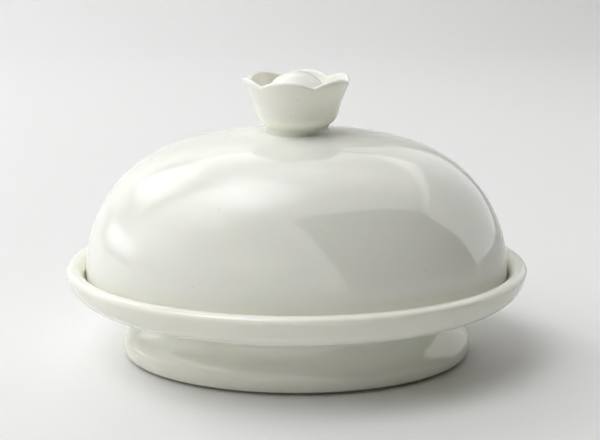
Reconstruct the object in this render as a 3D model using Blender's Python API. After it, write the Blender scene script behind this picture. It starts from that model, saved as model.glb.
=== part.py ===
"""Oval porcelain butter dish, in metres, +Z up.

A footed oval dish holds a loose domed lid, which lifts straight off by its flower-shaped knob.
The origin is on the table under the middle of the dish. +X runs along the oval.
The dish is a plate luted to a hollow foot. The lid is a dome with a six-petalled cup on its
crown and a round bead standing inside the cup.
"""

import math

import bmesh
import bpy
from mathutils import Matrix, Vector

# Outline of the dish
RIM_HALF_LENGTH = 0.0900      # out to the roll of the lip, along X
RIM_HALF_WIDTH = 0.0683       # out to the roll of the lip, along Y
CROSS_TAPER = 1.07            # the oval narrows this much faster across than along
SEGMENTS = 64                 # steps round each oval, a multiple of 4 so that the extremes are exact
GLAZE_GAP = 0.0003            # left between luted pieces, and under the resting lid

# Heights
LUTE_HEIGHT = 0.0195          # underside of the plate, where the foot is joined to it
WELL_HEIGHT = 0.0240          # floor that the butter stands on
SEAT_HEIGHT = 0.0300          # ledge that the lid rests on
LIP_HEIGHT = 0.0364           # centre of the rolled lip
LIP_RADIUS = 0.00235

# Lid
LID_HALF_LENGTH = 0.0826
LID_HALF_WIDTH = RIM_HALF_WIDTH - CROSS_TAPER * (RIM_HALF_LENGTH - LID_HALF_LENGTH)
LID_WALL = 0.0034
LID_SPRING = 0.0345           # height where the wall starts to curve in
LID_CROWN = 0.0902            # top of the dome
LID_FULLNESS = 2.95           # exponent across the dome: 2 is an ellipse, more is squarer
LID_FOOT = SEAT_HEIGHT + GLAZE_GAP
LID_BODY_PLACE = Vector((0.0, 0.0, LID_FOOT))

# Knob
KNOB_BASE = 0.0905            # the cup stands on the crown here
NECK_RADIUS = 0.0127
PETALS = 6
PETAL_STEPS = 8               # steps round each petal
PETAL_TURN = math.radians(-8.0)   # of the front petal, from -Y towards +X
VALLEY_HEIGHT = 0.1087        # edge of the cup between two petals
PETAL_RISE = 0.0022           # from there up to a petal's crest
PETAL_FLARE = 0.0007          # how far a crest leans out past the cone
CUP_EDGE_RADIUS = 0.0198      # outside of the cup at the valleys
CUP_LIP = 0.0008              # half the thickness of the cup's edge
CUP_FLOOR = 0.0955
BEAD_RADIUS = 0.0117
BEAD_HALF_HEIGHT = 0.0104
BEAD_TOP = 0.1124


def smooth(points, steps):
    """Points along a Catmull-Rom curve through the given (reach, height) pairs."""
    ends = [points[0], *points, points[-1]]
    curve = []
    for before, start, end, after in zip(ends, ends[1:], ends[2:], ends[3:]):
        for step in range(steps):
            t = step / steps
            curve.append(tuple(
                0.5 * (2 * b + (c - a) * t + (2 * a - 5 * b + 4 * c - d) * t**2
                       + (3 * b - a - 3 * c + d) * t**3)
                for a, b, c, d in zip(before, start, end, after)))
    curve.append(points[-1])
    return curve


def arc(centre, radius, start, end, steps):
    """Points on an arc of the profile; the angles are in degrees, counted from outwards to up."""
    angles = [math.radians(start + (end - start) * i / steps) for i in range(steps + 1)]
    return [(centre[0] + radius * math.cos(a), centre[1] + radius * math.sin(a)) for a in angles]


def dish_half_width(half_length):
    """Half-width of the dish's oval where its half-length is the given one."""
    return RIM_HALF_WIDTH - CROSS_TAPER * (RIM_HALF_LENGTH - half_length)


def oval_ring(bm, half_length, half_width, height):
    """The vertices of one level oval."""
    turns = [math.tau * i / SEGMENTS for i in range(SEGMENTS)]
    return [bm.verts.new((half_length * math.cos(t), half_width * math.sin(t), height)) for t in turns]


def join_rings(bm, lower, upper):
    """A band of quads between two rings, facing out when the second one is further up."""
    count = len(lower)
    for i in range(count):
        j = (i + 1) % count
        bm.faces.new((lower[i], lower[j], upper[j], upper[i]))


def oval_loft(name, ovals, ring_shaped=False):
    """A solid lofted through ovals given as (half_length, half_width, height).

    A ring-shaped loft closes on its first oval. Otherwise its two end ovals are capped.
    """
    bm = bmesh.new()
    rings = [oval_ring(bm, *oval) for oval in ovals]
    for lower, upper in zip(rings, rings[1:]):
        join_rings(bm, lower, upper)
    if ring_shaped:
        join_rings(bm, rings[-1], rings[0])
    else:
        bm.faces.new(reversed(rings[0]))
        bm.faces.new(rings[-1])
    return finish_mesh(name, bm)


def finish_mesh(name, bm, crease=30.0):
    """A smooth-shaded object from the bmesh, with its faces turned outwards."""
    bmesh.ops.recalc_face_normals(bm, faces=bm.faces)
    mesh = bpy.data.meshes.new(name)
    bm.to_mesh(mesh)
    bm.free()
    mesh.shade_smooth()
    mesh.set_sharp_from_angle(angle=math.radians(crease))
    return bpy.data.objects.new(name, mesh)


def make_dish_plate():
    """The plate: a flat well, a sloping ledge for the lid and an upright rim with a rolled lip."""
    underside = smooth([(0.0642, LUTE_HEIGHT), (0.0680, 0.0214), (0.0810, 0.0250), (0.0869, 0.0290),
                        (0.0891, 0.0330)], 2)
    lip = arc((RIM_HALF_LENGTH - LIP_RADIUS, LIP_HEIGHT), LIP_RADIUS, 0.0, 180.0, 6)
    inside = [(0.0850, 0.0328), (0.0845, 0.0310), (0.0834, SEAT_HEIGHT), (0.0790, SEAT_HEIGHT)]
    slope = smooth([(0.0790, SEAT_HEIGHT), (0.0735, 0.0280), (0.0670, 0.0252), (0.0600, WELL_HEIGHT)], 2)
    profile = [(0.0580, LUTE_HEIGHT)] + underside + lip + inside + slope[1:]
    return oval_loft("dish_plate", [(reach, dish_half_width(reach), height) for reach, height in profile])


def make_dish_foot():
    """The foot: a hollow oval pedestal with a coved neck, a bulging skirt and a flat standing ring."""
    top = LUTE_HEIGHT - GLAZE_GAP
    outside = smooth([(0.0668, 0.0), (0.0690, 0.0020), (0.0697, 0.0050), (0.0686, 0.0095),
                      (0.0672, 0.0128), (0.0643, 0.0160), (0.0638, top)], 2)
    inside = [(0.0590, top), (0.0598, 0.0110), (0.0615, 0.0030), (0.0622, 0.0)]
    profile = outside + inside
    ovals = [(reach, dish_half_width(reach), height) for reach, height in profile]
    return oval_loft("dish_foot", ovals, ring_shaped=True)


def dome_ovals(inset, lean, steps):
    """Ovals of a dome surface that lies this far inside the lid's own, from its foot to its crown.

    Each oval is similar to the one at the foot; its size follows a superellipse from the height
    where the wall springs to the crown.
    """
    half_length = LID_HALF_LENGTH - inset
    half_width = LID_HALF_WIDTH - inset
    rise = LID_CROWN - inset - LID_SPRING
    ovals = []
    for i in range(steps + 1):
        turn = math.radians(lean) * i / steps
        size = math.cos(turn) ** (2.0 / LID_FULLNESS)
        ovals.append((half_length * size, half_width * size, LID_SPRING + rise * math.sin(turn)))
    return ovals


def make_lid_dome():
    """The dome: an oval shell of even thickness, open below, on a level edge with rounded corners."""
    corner = 0.0009
    outer = dome_ovals(0.0, 86.5, 12)
    inner = dome_ovals(LID_WALL, 86.0, 10)
    edge = []
    for inset, height in ((0.0003, LID_FOOT + corner), (corner, LID_FOOT),
                          (LID_WALL - corner, LID_FOOT), (LID_WALL, LID_FOOT + corner)):
        edge.append((LID_HALF_LENGTH - inset, LID_HALF_WIDTH - inset, height))
    return oval_loft("lid_dome", outer[::-1] + edge + inner)


def make_knob_cup():
    """The cup: a turned cone on a short neck, its thin edge drawn up into six petals."""
    edge = (CUP_EDGE_RADIUS - CUP_LIP, VALLEY_HEIGHT - CUP_LIP)
    body = smooth([(NECK_RADIUS + 0.0002, KNOB_BASE), (NECK_RADIUS, 0.0920), (0.0142, 0.0938),
                   (0.0157, 0.0962), (0.0172, 0.1015), (CUP_EDGE_RADIUS, edge[1])], 2)
    lip = arc(edge, CUP_LIP, 0.0, 180.0, 4)
    inside = [(0.0165, 0.1040), (0.0148, 0.1000), (0.0128, 0.0968), (0.0112, CUP_FLOOR)]
    profile = [(0.0, KNOB_BASE), *body, *lip[1:], *inside, (0.0, CUP_FLOOR)]

    bm = bmesh.new()
    verts = [bm.verts.new((reach, 0.0, height)) for reach, height in profile]
    edges = [bm.edges.new(pair) for pair in zip(verts, verts[1:])]
    bmesh.ops.spin(bm, geom=verts + edges, cent=(0, 0, 0), axis=(0, 0, 1), angle=math.tau,
                   steps=PETALS * PETAL_STEPS, use_merge=True)
    bmesh.ops.remove_doubles(bm, verts=bm.verts, dist=1e-6)
    spin_start = -math.pi / 2 + PETAL_TURN
    bmesh.ops.rotate(bm, verts=bm.verts, cent=(0, 0, 0), matrix=Matrix.Rotation(spin_start, 3, "Z"))
    for vert in bm.verts:
        shape_petal(vert, spin_start)
    return finish_mesh("knob_cup", bm)


def shape_petal(vert, crest_angle):
    """Lifts and flares one vertex of the cup towards its edge, by where it lies on a petal."""
    above_floor = (vert.co.z - CUP_FLOOR) / (VALLEY_HEIGHT - CUP_FLOOR)
    pull = max(0.0, min(1.0, above_floor)) ** 3
    reach = math.hypot(vert.co.x, vert.co.y)
    if pull == 0.0 or reach == 0.0:
        return
    angle = math.atan2(vert.co.y, vert.co.x) - crest_angle
    petal = abs(math.cos(angle * PETALS / 2)) ** 0.8
    spread = (reach + PETAL_FLARE * petal * pull) / reach
    vert.co.x *= spread
    vert.co.y *= spread
    vert.co.z += PETAL_RISE * petal * pull


def make_knob_bead():
    """The bead: an egg-shaped ball, cut flat where it stands on the cup's floor."""
    bm = bmesh.new()
    bmesh.ops.create_uvsphere(bm, u_segments=24, v_segments=14, radius=1.0)
    bmesh.ops.scale(bm, verts=bm.verts, vec=(BEAD_RADIUS, BEAD_RADIUS, BEAD_HALF_HEIGHT))
    bmesh.ops.translate(bm, verts=bm.verts, vec=(0, 0, BEAD_TOP - BEAD_HALF_HEIGHT))
    cut = bmesh.ops.bisect_plane(bm, geom=bm.verts[:] + bm.edges[:] + bm.faces[:], dist=1e-7,
                                 plane_co=(0, 0, CUP_FLOOR + GLAZE_GAP), plane_no=(0, 0, 1),
                                 clear_inner=True)
    rim = [item for item in cut["geom_cut"] if isinstance(item, bmesh.types.BMEdge)]
    bmesh.ops.holes_fill(bm, edges=rim, sides=0)
    return finish_mesh("knob_bead", bm)


def glaze(name, colour, roughness):
    """A white porcelain glaze."""
    material = bpy.data.materials.new(name)
    material.use_nodes = True
    shader = material.node_tree.nodes["Principled BSDF"]
    shader.inputs["Base Color"].default_value = (*colour, 1.0)
    shader.inputs["Roughness"].default_value = roughness
    shader.inputs["Metallic"].default_value = 0.0
    material.diffuse_color = (*colour, 1.0)
    return material


def add_body(collection, name, place, parts):
    """Parents the parts of one loose piece of the ware to an empty, without moving them."""
    empty = bpy.data.objects.new(name, None)
    empty.location = place
    empty.empty_display_size = 0.02
    collection.objects.link(empty)
    for part, material in parts:
        part.data.transform(Matrix.Translation(-place))
        part.data.materials.append(material)
        part.parent = empty
        collection.objects.link(part)


def main():
    for old in list(bpy.data.objects):
        bpy.data.objects.remove(old)
    collection = bpy.data.collections.new("butter_dish")
    bpy.context.scene.collection.children.link(collection)
    add_body(collection, "dish_body", Vector((0.0, 0.0, 0.0)), [
        (make_dish_plate(), glaze("plate_glaze", (0.80, 0.79, 0.74), 0.10)),
        (make_dish_foot(), glaze("foot_glaze", (0.78, 0.78, 0.72), 0.12)),
    ])
    add_body(collection, "lid_body", LID_BODY_PLACE, [
        (make_lid_dome(), glaze("lid_glaze", (0.82, 0.82, 0.78), 0.08)),
        (make_knob_cup(), glaze("knob_glaze", (0.81, 0.81, 0.77), 0.10)),
        (make_knob_bead(), glaze("bead_glaze", (0.83, 0.83, 0.79), 0.09)),
    ])


main()
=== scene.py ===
"""Looks of the porcelain butter dish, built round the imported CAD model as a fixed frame.

Every CAD node is shown by a finer mesh of the same piece: the profiles are lofted through closely
spaced ovals, the corners are melted round as glaze does, the luted joints have slip fillets, and the
dish's lip slopes down to the lid. The glazes are one procedural family. Lengths are in metres, in the
row frame.
"""

import math

import bmesh
import bpy
import numpy as np
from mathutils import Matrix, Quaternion, Vector, noise


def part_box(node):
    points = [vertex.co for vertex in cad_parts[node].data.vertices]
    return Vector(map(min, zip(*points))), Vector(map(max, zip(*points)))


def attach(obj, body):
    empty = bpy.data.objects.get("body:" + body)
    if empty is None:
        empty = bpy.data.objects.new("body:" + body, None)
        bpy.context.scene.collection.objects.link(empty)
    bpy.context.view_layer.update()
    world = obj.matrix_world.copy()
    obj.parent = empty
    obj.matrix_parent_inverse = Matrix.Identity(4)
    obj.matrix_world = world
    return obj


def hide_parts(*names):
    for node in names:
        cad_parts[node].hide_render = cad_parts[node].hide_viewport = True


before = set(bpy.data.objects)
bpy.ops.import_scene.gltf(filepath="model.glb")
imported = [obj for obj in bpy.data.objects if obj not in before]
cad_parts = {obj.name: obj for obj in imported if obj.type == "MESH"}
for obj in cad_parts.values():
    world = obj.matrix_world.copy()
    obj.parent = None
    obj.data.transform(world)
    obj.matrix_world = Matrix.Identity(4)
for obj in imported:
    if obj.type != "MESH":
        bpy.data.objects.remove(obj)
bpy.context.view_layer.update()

MM = 0.001
PLATE_LOW, PLATE_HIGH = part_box("dish_plate")
_, FOOT_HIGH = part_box("dish_foot")
LID_LOW, LID_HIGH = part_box("lid_dome")
CUP_LOW, CUP_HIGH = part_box("knob_cup")
BEAD_LOW, BEAD_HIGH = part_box("knob_bead")

# The dish
CROSS_TAPER = 1.07                # the oval narrows this much faster across than along
GLAZE_GAP = 0.3 * MM              # the CAD model's gap between luted or resting pieces
SEAT_HEIGHT = LID_LOW.z - GLAZE_GAP
WELL_HEIGHT = SEAT_HEIGHT - 6.0 * MM
LIP_RADIUS = 2.35 * MM

# The lid
LID_WALL = 3.4 * MM
LID_SPRING = LID_LOW.z + 4.2 * MM   # height where the wall starts to curve in
LID_CROWN = CUP_LOW.z - GLAZE_GAP
LID_FULLNESS = 2.95                 # exponent across the dome: 2 is an ellipse, more is squarer
CROWN_SAG = 0.45 * MM               # the crown has sunk in a ring round the knob
SAG_REACH = 0.65                    # outer edge of that ring, as a share of the lid's size
SAG_START = 0.26                    # and where it is at its full depth, outside the knob

# The knob
NECK_RADIUS = 12.3 * MM
PETALS = 6
VALLEY_TURNS = (-42.5, 19.5, 80.5, 139.5, 198.0, 256.5)   # of the petals' valleys, from -Y towards +X
PETAL_RISE = 2.2 * MM
PETAL_FLARE = 0.7 * MM
VALLEY_ROUNDING = 0.34              # 0 is a sharp notch between two petals
PETAL_FULLNESS = 0.62               # exponent of a petal's edge: less is flatter on top
VALLEY_HEIGHT = CUP_HIGH.z - PETAL_RISE
CUP_EDGE_RADIUS = 19.8 * MM
CUP_LIP = 0.95 * MM
CUP_FLOOR = BEAD_LOW.z - GLAZE_GAP
BEAD_HALF_HEIGHT = 10.4 * MM

# Fineness of the meshes
TURN_STEPS = 256                    # steps round an oval
PETAL_STEPS = 44                    # steps round one petal
GLAZE_ROUNDING = 0.32 * MM          # how far molten glaze rounds every corner
LONGEST_STEP = 1.3 * MM             # along a profile
SHARPEST_STEP = math.radians(9.0)   # turn of the profile from one step to the next


# ---------------------------------------------------------------- profiles

def smooth(points, steps=12):
    """Points along a Catmull-Rom curve through the given (reach, height) pairs."""
    ends = [points[0], *points, points[-1]]
    curve = []
    for before, start, end, after in zip(ends, ends[1:], ends[2:], ends[3:]):
        for step in range(steps):
            t = step / steps
            curve.append(tuple(
                0.5 * (2 * b + (c - a) * t + (2 * a - 5 * b + 4 * c - d) * t**2
                       + (3 * b - a - 3 * c + d) * t**3)
                for a, b, c, d in zip(before, start, end, after)))
    curve.append(points[-1])
    return curve


def arc(centre, radius, start, end, steps=24):
    """Points on an arc of the profile; the angles are in degrees, counted from outwards to up."""
    angles = [math.radians(start + (end - start) * i / steps) for i in range(steps + 1)]
    return [(centre[0] + radius * math.cos(a), centre[1] + radius * math.sin(a)) for a in angles]


def respaced(profile, cost):
    """The profile resampled evenly by a running cost, one number for each of its points."""
    marks = np.linspace(0.0, cost[-1], math.ceil(cost[-1]) + 1)
    return np.column_stack([np.interp(marks, cost, column) for column in profile.T])


def running_length(profile, unit):
    """Length along the profile up to each point, in the given unit, across its first and last column."""
    steps = np.diff(profile, axis=0)
    return np.concatenate([[0.0], np.cumsum(np.hypot(steps[:, 0], steps[:, -1]))]) / unit


def melt(profile, closed=False, rounding=GLAZE_ROUNDING):
    """Rounds the corners of a profile and spaces its points by how sharply it turns.

    A point is (reach, height), or (half_length, half_width, height) where the wall is even all round.
    """
    grain = 0.12 * MM
    points = np.array(profile, float)
    if closed:
        points = np.vstack([points, points[:1]])
    points = respaced(points, running_length(points, grain))
    passes = round(rounding**2 / (0.5 * grain**2))
    for _ in range(passes):
        if closed:
            ring = points[:-1]
            ring = 0.5 * ring + 0.25 * (np.roll(ring, 1, axis=0) + np.roll(ring, -1, axis=0))
            points = np.vstack([ring, ring[:1]])
        else:
            points[1:-1] = 0.5 * points[1:-1] + 0.25 * (points[:-2] + points[2:])
    steps = np.diff(points, axis=0)
    heading = np.unwrap(np.arctan2(steps[:, -1], steps[:, 0]))
    turning = np.abs(np.diff(heading, prepend=heading[0]))
    cost = running_length(points, LONGEST_STEP)
    cost[1:] += np.cumsum(turning) / SHARPEST_STEP
    points = respaced(points, cost)
    return points[:-1] if closed else points


def dish_half_width(half_length):
    """Half-width of the dish's oval where its half-length is the given one."""
    return PLATE_HIGH.y - CROSS_TAPER * (PLATE_HIGH.x - half_length)


def dish_ovals(profile, inner_reach=0.0):
    """Ovals of the dish's family; inside inner_reach they shrink evenly towards the middle."""
    ovals = []
    for reach, height in profile:
        if reach >= inner_reach:
            ovals.append((reach, dish_half_width(reach), height))
        else:
            ovals.append((reach, dish_half_width(inner_reach) * reach / inner_reach, height))
    return ovals


# ---------------------------------------------------------------- meshes

def oval_loft(name, ovals, closed=False):
    """A mesh lofted through ovals given as (half_length, half_width, height)."""
    bm = bmesh.new()
    turns = [math.tau * i / TURN_STEPS for i in range(TURN_STEPS)]
    rings = []
    for half_length, half_width, height in ovals:
        if half_length < 1e-6:
            rings.append([bm.verts.new((0.0, 0.0, height))])
        else:
            rings.append([bm.verts.new((half_length * math.cos(t), half_width * math.sin(t), height))
                          for t in turns])
    pairs = list(zip(rings, rings[1:]))
    if closed:
        pairs.append((rings[-1], rings[0]))
    for lower, upper in pairs:
        for i in range(TURN_STEPS):
            j = (i + 1) % TURN_STEPS
            corners = [lower[i % len(lower)], lower[j % len(lower)],
                       upper[j % len(upper)], upper[i % len(upper)]]
            bm.faces.new(list(dict.fromkeys(corners)))
    return finish_mesh(name, bm)


def turned(profile, steps):
    """A bmesh turned about +Z from a profile that starts and ends on the axis."""
    bm = bmesh.new()
    verts = [bm.verts.new((reach, 0.0, height)) for reach, height in profile]
    edges = [bm.edges.new(pair) for pair in zip(verts, verts[1:])]
    bmesh.ops.spin(bm, geom=verts + edges, cent=(0, 0, 0), axis=(0, 0, 1), angle=math.tau,
                   steps=steps, use_merge=True)
    bmesh.ops.remove_doubles(bm, verts=bm.verts, dist=1e-6)
    return bm


def finish_mesh(name, bm):
    """A smooth-shaded object from the bmesh, with its faces turned outwards."""
    bmesh.ops.recalc_face_normals(bm, faces=bm.faces)
    mesh = bpy.data.meshes.new(name)
    bm.to_mesh(mesh)
    bm.free()
    mesh.shade_smooth()
    piece = bpy.data.objects.new(name, mesh)
    bpy.context.scene.collection.objects.link(piece)
    return piece


def hand_finish(piece, depth, seed):
    """Sinks the surface by a slow, uneven amount up to depth, as hand-finished ware has it.

    It only goes inwards, so that the piece keeps its outer size, and it leaves the standing ring level.
    """
    swell = 0.045                 # width of one swell
    mesh = piece.data
    normals = [Vector(item.vector) for item in mesh.vertex_normals]
    drift = Vector((seed, 2.7 * seed, -1.3 * seed))
    for vert, normal in zip(mesh.vertices, normals):
        height_fade = min(1.0, vert.co.z / (1.5 * MM))
        lump = 0.5 + 0.5 * noise.noise(vert.co / swell + drift)
        vert.co -= normal * depth * lump * height_fade
    mesh.update()


def mark_curvature(piece):
    """Stores how hollow (above 0) or edge-like (below 0) the surface is, in 1/mm, for the glaze."""
    bm = bmesh.new()
    bm.from_mesh(piece.data)
    values = np.zeros(len(bm.verts))
    for i, vert in enumerate(bm.verts):
        bend = 0.0
        for edge in vert.link_edges:
            span = edge.other_vert(vert).co - vert.co
            bend += 2.0 * span.dot(vert.normal) / max(span.length_squared, 1e-12)
        values[i] = bend / max(1, len(vert.link_edges)) * MM
    pairs = np.array([[v.index for v in edge.verts] for edge in bm.edges])
    bm.free()
    links = np.bincount(pairs.ravel(), minlength=len(values))
    for _ in range(3):
        around = np.bincount(pairs[:, 0], values[pairs[:, 1]], len(values))
        around += np.bincount(pairs[:, 1], values[pairs[:, 0]], len(values))
        values = 0.5 * values + 0.5 * around / links
    layer = piece.data.attributes.new("curvature", "FLOAT", "POINT")
    layer.data.foreach_set("value", np.clip(values, -1.0, 1.0))


# ---------------------------------------------------------------- the pieces

def make_plate():
    """The oval dish: flat well, ledge for the lid, upright rim whose lip slopes down to the lid."""
    def spot(inset, above):
        return (PLATE_HIGH.x - inset * MM, PLATE_LOW.z + above * MM)

    base = PLATE_LOW.z
    underside = [(0.0, base), spot(32.0, 0.0)]
    underside += smooth([spot(25.8, 0.0), spot(22.0, 1.9), spot(9.0, 5.5), spot(3.1, 9.5), spot(0.9, 13.5)])
    lip = arc((PLATE_HIGH.x - LIP_RADIUS, PLATE_HIGH.z - LIP_RADIUS), LIP_RADIUS, 0.0, 80.0)
    inside = smooth([lip.pop(), (PLATE_HIGH.x - 3.7 * MM, PLATE_HIGH.z - 0.25 * MM),
                     (PLATE_HIGH.x - 5.2 * MM, PLATE_HIGH.z - 1.3 * MM),
                     (LID_HIGH.x + 0.9 * MM, PLATE_HIGH.z - 2.9 * MM),
                     (LID_HIGH.x + 0.45 * MM, PLATE_HIGH.z - 4.4 * MM),
                     (LID_HIGH.x + 0.4 * MM, SEAT_HEIGHT + 1.2 * MM),
                     (LID_HIGH.x + 0.1 * MM, SEAT_HEIGHT + 0.25 * MM)])
    slope = smooth([(PLATE_HIGH.x - 11.0 * MM, SEAT_HEIGHT), spot(16.5, 8.5), spot(23.0, 5.7),
                    (PLATE_HIGH.x - 30.0 * MM, WELL_HEIGHT)])
    profile = melt(underside + lip + inside + slope + [(0.0, WELL_HEIGHT)])
    return oval_loft("dish_plate_ware", dish_ovals(profile, PLATE_HIGH.x - 32.0 * MM))


def make_foot():
    """The hollow foot: bulging skirt, coved neck with slip fillets into the plate, standing ring."""
    def spot(inset, height):
        return (FOOT_HIGH.x - inset * MM, height * MM)

    outside = [spot(3.4, 0.0), spot(3.3, 0.75)]
    outside += smooth([spot(2.4, 0.85), spot(1.3, 1.5), spot(0.4, 3.1), spot(0.02, 5.4), spot(0.6, 7.8),
                       spot(2.1, 10.2), spot(3.8, 12.6), spot(5.2, 15.4), spot(5.8, 17.8), spot(5.2, 19.3),
                       spot(3.9, 20.3), spot(2.7, 21.0)])
    inside = [spot(11.9, 21.0)]
    inside += smooth([spot(12.9, 19.7), spot(11.5, 19.2), spot(10.7, 17.6), spot(9.9, 11.0),
                      spot(8.2, 3.0), spot(7.5, 0.0)])
    profile = melt(outside + inside, closed=True)
    return oval_loft("dish_foot_ware", dish_ovals(profile), closed=True)


def dome_ovals(inset, turns):
    """Ovals of a dome surface that lies this far inside the lid's own."""
    rise = LID_CROWN - inset - LID_SPRING
    ovals = []
    for turn in turns:
        size = max(0.0, math.cos(turn)) ** (2.0 / LID_FULLNESS)
        sag = CROWN_SAG * max(0.0, 1.0 - (size / SAG_REACH) ** 3) * min(1.0, size / SAG_START) ** 4
        ovals.append(((LID_HIGH.x - inset) * size, (LID_HIGH.y - inset) * size,
                      LID_SPRING + rise * math.sin(turn) - sag))
    return ovals


def make_dome():
    """The domed lid: an oval shell of even thickness, open below, on a rounded edge."""
    corner = 0.9 * MM             # radius of the edge it stands on, outside and inside
    climb = [math.pi / 2 * i / 160 for i in range(161)]
    corners = arc((-corner, LID_LOW.z + corner), corner, 0.0, -90.0)
    corners += arc((corner - LID_WALL, LID_LOW.z + corner), corner, -90.0, -180.0)
    edge = [(LID_HIGH.x + inset, LID_HIGH.y + inset, height) for inset, height in corners]
    return oval_loft("lid_dome_ware", melt(dome_ovals(0.0, climb[::-1]) + edge + dome_ovals(LID_WALL, climb)))


def make_cup():
    """The knob's cup: a turned cone on a short flared neck, its thin edge drawn into six petals."""
    edge = (CUP_EDGE_RADIUS - CUP_LIP, VALLEY_HEIGHT - CUP_LIP)
    base = CUP_LOW.z
    sunk = base - 1.5 * MM
    neck = [(NECK_RADIUS + 0.5 * MM, sunk), (NECK_RADIUS + 0.35 * MM, base - 0.7 * MM),
            (NECK_RADIUS + 0.05 * MM, base - 0.1 * MM), (NECK_RADIUS, base + 1.5 * MM)]
    body = smooth(neck + [(14.2 * MM, base + 3.3 * MM), (15.7 * MM, base + 5.7 * MM),
                          (17.2 * MM, base + 11.0 * MM), (CUP_EDGE_RADIUS, edge[1])])
    lip = arc(edge, CUP_LIP, 0.0, 180.0)
    inside = smooth([(CUP_EDGE_RADIUS - 2 * CUP_LIP, edge[1]), (16.5 * MM, CUP_FLOOR + 8.5 * MM),
                     (14.8 * MM, CUP_FLOOR + 4.5 * MM), (12.8 * MM, CUP_FLOOR + 1.3 * MM),
                     (10.4 * MM, CUP_FLOOR)])
    profile = melt([(0.0, sunk), *body, *lip[1:], *inside[1:], (0.0, CUP_FLOOR)], rounding=0.22 * MM)
    bm = turned(profile, PETALS * PETAL_STEPS)
    for vert in bm.verts:
        shape_petal(vert)
    return finish_mesh("knob_cup_ware", bm)


def petal_height(turn):
    """From 0 in a valley to 1 on a crest, for a turn in degrees from -Y towards +X.

    The petals are cut by hand: each valley has its own place, and the valleys are narrower than the crests.
    """
    turn = (turn - VALLEY_TURNS[0]) % 360.0
    starts = [(valley - VALLEY_TURNS[0]) % 360.0 for valley in VALLEY_TURNS] + [360.0]
    for start, end in zip(starts, starts[1:]):
        if start <= turn <= end:
            across = math.sin(math.pi * (turn - start) / (end - start))
            rounded = math.hypot(across, VALLEY_ROUNDING) - VALLEY_ROUNDING
            return (rounded / (math.hypot(1.0, VALLEY_ROUNDING) - VALLEY_ROUNDING)) ** PETAL_FULLNESS
    return 0.0


def shape_petal(vert):
    """Lifts and flares one vertex of the cup towards its edge, by where it lies on a petal."""
    above_floor = (vert.co.z - CUP_FLOOR) / (VALLEY_HEIGHT - CUP_FLOOR)
    pull = max(0.0, min(1.0, above_floor)) ** 3
    reach = math.hypot(vert.co.x, vert.co.y)
    if pull == 0.0 or reach == 0.0:
        return
    petal = petal_height(math.degrees(math.atan2(vert.co.x, -vert.co.y)))
    spread = (reach + PETAL_FLARE * petal * pull) / reach
    vert.co.x *= spread
    vert.co.y *= spread
    vert.co.z += PETAL_RISE * petal * pull


def make_bead():
    """The bead inside the cup: an egg-shaped ball with a slip fillet where it stands on the floor."""
    middle = BEAD_HIGH.z - BEAD_HALF_HEIGHT
    sink = math.asin((CUP_FLOOR + 0.9 * MM - middle) / BEAD_HALF_HEIGHT)
    turns = [sink + (math.pi / 2 - sink) * i / 48 for i in range(49)]
    ball = [(BEAD_HIGH.x * math.cos(t), middle + BEAD_HALF_HEIGHT * math.sin(t)) for t in turns]
    waist = ball[0][0]
    fillet = smooth([(waist + 1.1 * MM, CUP_FLOOR - 0.15 * MM), (waist + 0.5 * MM, CUP_FLOOR + 0.1 * MM),
                     (waist - 0.05 * MM, CUP_FLOOR + 0.45 * MM), ball[0]])
    profile = melt([(0.0, CUP_FLOOR - 0.15 * MM)] + fillet + ball[1:])
    return finish_mesh("knob_bead_ware", turned(profile, 128))


# ---------------------------------------------------------------- glaze

GLAZE_IOR = 1.52
BODY_TRANSLUCENCE = 0.5
BODY_REACH = 3.6 * MM                 # how far light travels inside the porcelain
BODY_REACH_RGB = (1.0, 0.93, 0.74)    # and the share of that for red, green and blue


class Nodes:
    """Short calls for building a node tree."""

    def __init__(self, tree):
        self.tree = tree

    def add(self, kind, links=(), **settings):
        """A node with these settings, and these (socket, value or output) inputs."""
        node = self.tree.nodes.new(kind)
        for key, value in settings.items():
            setattr(node, key, value)
        for socket, value in dict(links).items():
            self.put(node.inputs[socket], value)
        return node

    def put(self, socket, value):
        """Sets a socket to a plain value, or links an output to it."""
        if isinstance(value, bpy.types.NodeSocket):
            self.tree.links.new(value, socket)
        else:
            socket.default_value = value

    def ramp(self, value, low, high, start=0.0, end=1.0):
        """The value's range low to high stretched to start to end, and held there beyond it."""
        return self.add("ShaderNodeMapRange", {"Value": value, "From Min": low, "From Max": high,
                                               "To Min": start, "To Max": end}).outputs["Result"]

    def math(self, operation, a, b):
        """The outcome of a sum on two numbers."""
        return self.add("ShaderNodeMath", {0: a, 1: b}, operation=operation).outputs[0]


class MaterialNodes(Nodes):
    """The node tree of a new material."""

    def __init__(self, name):
        self.material = bpy.data.materials.new(name)
        self.material.use_nodes = True
        super().__init__(self.material.node_tree)
        self.shader = self.tree.nodes["Principled BSDF"]
        self.place = self.add("ShaderNodeTexCoord").outputs["Object"]

    def noise(self, scale, detail=2.0, shift=0.0):
        """Cloudy noise from 0 to 1; scale is in clouds per metre."""
        place = self.place
        if shift:
            place = self.add("ShaderNodeVectorMath", {0: place, 1: (shift, -shift, 0.7 * shift)},
                             operation="ADD").outputs[0]
        cloudy = self.add("ShaderNodeTexNoise", {"Vector": place, "Scale": scale, "Detail": detail})
        return cloudy.outputs["Fac"]

    def mix(self, share, a, b):
        """Colour a, going over to colour b."""
        node = self.add("ShaderNodeMix", data_type="RGBA")
        self.put(node.inputs[0], share)
        self.put(node.inputs[6], a)
        self.put(node.inputs[7], b)
        return node.outputs[2]

    def bump(self, height, depth, normal=None):
        """A surface normal raised by depth where height is 1, on top of another normal if given."""
        links = {"Height": height, "Strength": 1.0, "Distance": depth}
        if normal is not None:
            links["Normal"] = normal
        return self.add("ShaderNodeBump", links).outputs["Normal"]


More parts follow.
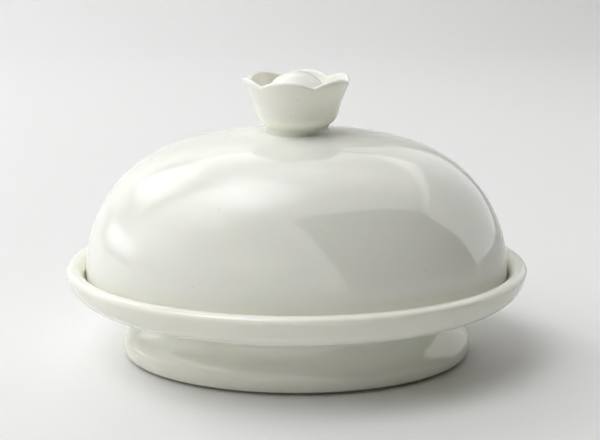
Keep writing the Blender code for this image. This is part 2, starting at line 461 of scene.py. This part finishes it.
def make_glaze(name, body, shift, biscuit=None):
    """Clear glaze over warm white porcelain.

    It is greener and darker in hollows, partly where the glaze pools and partly as painted shade, and
    whiter where it thins over edges, with slow clouds in colour and gloss, an orange-peel skin and a few
    iron specks. Where biscuit is given, it is the height below which the clay is bare and matt, and the
    colour of that clay.
    """
    n = MaterialNodes(name)
    # The colour for hollows: partly real glaze pooling, partly painted shade.
    pooled_and_shaded = tuple(c * k for c, k in zip(body, (0.90, 0.93, 0.84))) + (1.0,)
    thinned = tuple(min(1.0, c * k) for c, k in zip(body, (1.03, 1.025, 1.035))) + (1.0,)
    clouded = tuple(c * k for c, k in zip(body, (0.972, 0.978, 0.955))) + (1.0,)
    iron = (0.16, 0.12, 0.07, 1.0)

    clouds = n.ramp(n.noise(26.0, 3.0, shift), 0.35, 0.68)
    colour = n.mix(clouds, (*body, 1.0), clouded)
    curvature = n.add("ShaderNodeAttribute", attribute_name="curvature").outputs["Fac"]
    uneven = n.ramp(n.noise(120.0, 2.0, shift), 0.2, 0.8, 0.75, 1.0)
    # Hollows get that colour: partly glaze that pools there, partly painted shade.
    pool_and_shade = n.math("MULTIPLY", n.ramp(curvature, 0.03, 0.45), uneven)
    colour = n.mix(pool_and_shade, colour, pooled_and_shaded)
    thin = n.ramp(curvature, -0.25, -0.9)
    colour = n.mix(n.math("MULTIPLY", thin, 0.8), colour, thinned)
    cells = n.add("ShaderNodeTexVoronoi", {"Vector": n.place, "Scale": 150.0})
    speck = n.ramp(cells.outputs["Distance"], 0.016, 0.034, 0.55, 0.0)
    colour = n.mix(speck, colour, iron)

    gloss = n.ramp(n.noise(40.0, 3.0, shift + 3.1), 0.3, 0.7, 0.060, 0.105)
    gloss = n.math("ADD", gloss, n.ramp(n.noise(900.0, 2.0), 0.45, 0.75, 0.0, 0.02))
    swell = n.bump(n.noise(48.0, 1.0, shift + 1.7), 0.045 * MM)
    skin = n.bump(n.noise(620.0, 2.0), 0.0035 * MM, swell)

    if biscuit:
        bare_height, tone = biscuit
        height = n.add("ShaderNodeSeparateXYZ", {0: n.place}).outputs["Z"]
        ragged = n.ramp(n.noise(260.0, 3.0), 0.3, 0.7, -0.16 * MM, 0.16 * MM)
        bare = n.ramp(n.math("ADD", height, ragged), bare_height, bare_height + 0.12 * MM, 1.0, 0.0)
        grain = n.noise(4200.0, 4.0)
        clay = n.mix(n.ramp(grain, 0.35, 0.65), (*tone, 1.0), (*[0.84 * share for share in tone], 1.0))
        colour = n.mix(bare, colour, clay)
        gloss = n.math("ADD", gloss, n.math("MULTIPLY", bare, 0.6))
        skin = n.bump(n.math("MULTIPLY", grain, bare), 0.05 * MM, skin)

    shader = n.shader.inputs
    n.put(shader["Base Color"], colour)
    n.put(shader["Roughness"], gloss)
    n.put(shader["Normal"], skin)
    shader["IOR"].default_value = GLAZE_IOR
    shader["Subsurface Weight"].default_value = BODY_TRANSLUCENCE
    shader["Subsurface Radius"].default_value = BODY_REACH_RGB
    shader["Subsurface Scale"].default_value = BODY_REACH
    return n.material


# ---------------------------------------------------------------- the studio

PAPER_SHINE = 0.12                    # the paper mirrors next to nothing
CAMERA_PLACE = (1.27 * MM, -400.0 * MM, 163.8 * MM)
CAMERA_DOWN = 15.31                   # degrees below level
CAMERA_LENS = 63.62                   # in mm, on a sensor 36 mm wide


def make_sweep():
    """Seamless pale paper: a level floor that curves up behind."""
    back, bend = 0.95, 0.55       # where the floor starts to curve up, and the radius of the curve
    top, half = 2.6, 8.0          # its height behind, and half its width
    line = [(-3.2, 0.0), (-1.6, 0.0), (-0.6, 0.0), (0.0, 0.0), (0.5, 0.0)]
    line += [(back + bend * math.sin(t), bend * (1.0 - math.cos(t)))
             for t in [math.pi / 2 * i / 24 for i in range(25)]]
    line += [(back + bend, top)]
    bm = bmesh.new()
    rows = [[bm.verts.new((x, y, z)) for x in (-half, 0.0, half)] for y, z in line]
    for near, far in zip(rows, rows[1:]):
        for i in (0, 1):
            bm.faces.new((near[i], near[i + 1], far[i + 1], far[i]))
    sweep = finish_mesh("studio_sweep", bm)
    n = MaterialNodes("studio_paper")
    fibre = n.ramp(n.noise(900.0, 4.0), 0.3, 0.7)
    n.put(n.shader.inputs["Base Color"], n.mix(fibre, (0.87, 0.87, 0.87, 1.0), (0.84, 0.84, 0.845, 1.0)))
    n.put(n.shader.inputs["Roughness"], n.ramp(n.noise(30.0), 0.3, 0.7, 0.55, 0.65))
    n.put(n.shader.inputs["Normal"], n.bump(fibre, 0.01 * MM))
    n.shader.inputs["Specular IOR Level"].default_value = PAPER_SHINE
    sweep.data.materials.append(n.material)


AIM = Vector((0.0, 0.0, 50.0 * MM))    # the middle of the ware, that every softbox faces


def direction(azimuth, elevation):
    """Unit vector out of the ware; azimuth is from -Y towards +X, in degrees."""
    a, e = math.radians(azimuth), math.radians(elevation)
    return Vector((math.sin(a) * math.cos(e), -math.cos(a) * math.cos(e), math.sin(e)))


def add_area_light(name, width, height, watts, place, turn, glow):
    """A rectangular light that the camera doesn't see.

    glow(n, u, v) gives its brightness, as a share of the watts, from the place u across it and v up it.
    """
    light = bpy.data.lights.new(name, "AREA")
    light.shape = "RECTANGLE"
    light.size, light.size_y = width, height
    light.energy = watts
    light.use_nodes = True
    n = Nodes(light.node_tree)
    across = n.add("ShaderNodeSeparateXYZ", {0: n.add("ShaderNodeNewGeometry").outputs["Parametric"]})
    n.put(n.tree.nodes["Emission"].inputs["Strength"], glow(n, across.outputs["X"], across.outputs["Y"]))
    lamp = bpy.data.objects.new(name, light)
    lamp.location = place
    lamp.rotation_euler = turn.to_euler()
    lamp.visible_camera = False
    bpy.context.scene.collection.objects.link(lamp)
    return lamp


def feathered(n, u, v):
    """4 u (1 - u) 4 v (1 - v): full in the middle of a softbox and fading to its edges, as cloth does."""
    arches = [n.math("MULTIPLY", n.math("MULTIPLY", place, n.math("SUBTRACT", 1.0, place)), 4.0)
              for place in (u, v)]
    return n.math("MULTIPLY", *arches)


def add_softbox(name, azimuth, elevation, distance, width, height, watts, tint):
    """A softbox facing the ware."""
    towards = direction(azimuth, elevation)
    lamp = add_area_light(name, width, height, watts, AIM + towards * distance,
                          towards.to_track_quat("Z", "Y"), feathered)
    lamp.data.color = tint


def add_card(name, azimuth, elevation, distance, lean, left, right, low, high, glow_left, glow_right):
    """A sharp-edged white wall of the tent round the dish, seen only as a reflection in the glaze.

    Its edges are given in its own plane, in metres from the point that it is aimed through. It leans about
    that point by the given degrees. Its brightness, where white paper in full light is 1, runs evenly from
    glow_left to glow_right.
    """
    towards = direction(azimuth, elevation)
    turn = towards.to_track_quat("Z", "Y") @ Quaternion((0.0, 0.0, 1.0), math.radians(lean))
    middle = Vector(((left + right) / 2, (low + high) / 2, 0.0))
    width, height = right - left, high - low
    card = add_area_light(name, width, height, math.pi * width * height,
                          AIM + towards * distance + turn @ middle, turn,
                          lambda n, u, v: n.ramp(u, 0.0, 1.0, glow_left, glow_right))
    card.visible_diffuse = False


SOFTBOXES = [
    # name, azimuth, elevation, distance, width, height, watts, tint
    ("key_back_left", -115.0, 42.0, 2.2, 1.45, 1.3, 29.2, (1.01, 1.00, 1.00)),
    ("high_left", -50.0, 68.0, 2.0, 1.6, 1.3, 27.6, (0.98, 1.00, 1.01)),
    ("front_left", -60.0, 48.0, 2.2, 1.9, 1.5, 23.6, (1.00, 0.99, 1.00)),
    ("low_left", -78.0, 20.0, 2.3, 2.7, 1.3, 12.9, (1.00, 1.00, 0.99)),
    ("overhead", 180.0, 86.0, 1.6, 1.3, 1.1, 5.2, (0.97, 1.00, 1.02)),
    ("front_low", -20.0, 14.0, 2.0, 1.5, 0.6, 2.2, (1.10, 1.05, 0.75)),
    ("high_right", 110.0, 60.0, 1.6, 1.1, 1.0, 3.0, (1.08, 1.01, 0.88)),
    ("floor_left", -98.0, 8.0, 2.0, 1.6, 0.5, 7.4, (0.98, 1.00, 1.02)),
    ("back_left", -165.0, 45.0, 1.5, 1.2, 1.0, 3.3, (1.0, 1.0, 1.0)),
    ("low_back_left", -130.0, 22.0, 1.9, 1.4, 1.0, 3.0, (1.0, 1.0, 1.0)),
    ("back_right", 150.0, 35.0, 1.5, 1.2, 1.0, 0.8, (1.0, 1.0, 1.0)),
]
CARDS = [
    # name, azimuth, elevation, distance, lean, left, right, low, high, glow at the left and at the right
    ("wall_right", 112.0, 25.0, 1.2, 12.8, -0.60, 2.4, -0.85, 0.50, 2.0, 0.1),
    ("wall_left", -30.0, 20.0, 1.2, 45.0, -1.6, 0.8, -2.2, 1.6, 0.3, 1.5),
    ("ceiling", 0.0, 90.0, 1.5, 207.0, -0.7, 1.6, -1.2, 1.5, 1.7, 1.7),
]
ROOM_COLOUR = (1.0, 0.80, 0.35, 1.0)
ROOM_LIGHT = 0.014


def light_the_studio():
    """Softboxes, mirrored walls, and a trace of warm light from the room."""
    for softbox in SOFTBOXES:
        add_softbox(*softbox)
    for card in CARDS:
        add_card(*card)
    world = bpy.data.worlds.new("studio_room")
    world.use_nodes = True
    background = world.node_tree.nodes["Background"]
    background.inputs["Color"].default_value = ROOM_COLOUR
    background.inputs["Strength"].default_value = ROOM_LIGHT
    bpy.context.scene.world = world
    bpy.context.scene.view_settings.view_transform = "Standard"


def add_camera():
    """A view from the front and a little above."""
    data = bpy.data.cameras.new("camera")
    data.sensor_width = 36.0
    data.lens = CAMERA_LENS
    data.clip_start, data.clip_end = 0.01, 20.0
    camera = bpy.data.objects.new("camera", data)
    camera.location = CAMERA_PLACE
    camera.rotation_euler = (math.radians(90.0 - CAMERA_DOWN), 0.0, 0.0)
    bpy.context.scene.collection.objects.link(camera)
    bpy.context.scene.camera = camera


# ---------------------------------------------------------------- the scene

CLEAN_CLAY = (0.74, 0.71, 0.64)
CLAY_IN_PAINTED_SHADOW = (0.48, 0.41, 0.31)     # the standing ring's bare clay, darkened as painted shade for the contact shadow under the foot

PIECES = [
    # maker, CAD node, body, slot, hand-finish depth, body colour, bare clay: its height and colour
    (make_plate, "dish_plate", "dish", "plate_glaze", 0.14, (0.906, 0.902, 0.836), None),
    # The foot's bottom 1 mm of bare clay, recess included, is darkened as painted shade for the contact
    # shadow.
    (make_foot, "dish_foot", "dish", "foot_glaze", 0.12, (0.896, 0.900, 0.826), (1.0 * MM, CLAY_IN_PAINTED_SHADOW)),
    (make_dome, "lid_dome", "lid", "lid_glaze", 0.16, (0.912, 0.912, 0.852),
     (LID_LOW.z + 0.45 * MM, CLEAN_CLAY)),
    (make_cup, "knob_cup", "lid", "knob_glaze", 0.06, (0.908, 0.908, 0.842), None),
    (make_bead, "knob_bead", "lid", "bead_glaze", 0.05, (0.910, 0.910, 0.848), None),
]


def build_pieces():
    """Makes every piece, glazes it and puts it on its body in place of its CAD node."""
    for seed, (make, node, body, slot, depth, colour, biscuit) in enumerate(PIECES):
        piece = make()
        hand_finish(piece, depth * MM, 5.0 + 3.3 * seed)
        mark_curvature(piece)
        piece.data.materials.append(make_glaze(slot, colour, 1.9 * seed, biscuit))
        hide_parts(node)
        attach(piece, body)


add_camera()
build_pieces()
make_sweep()
light_the_studio()
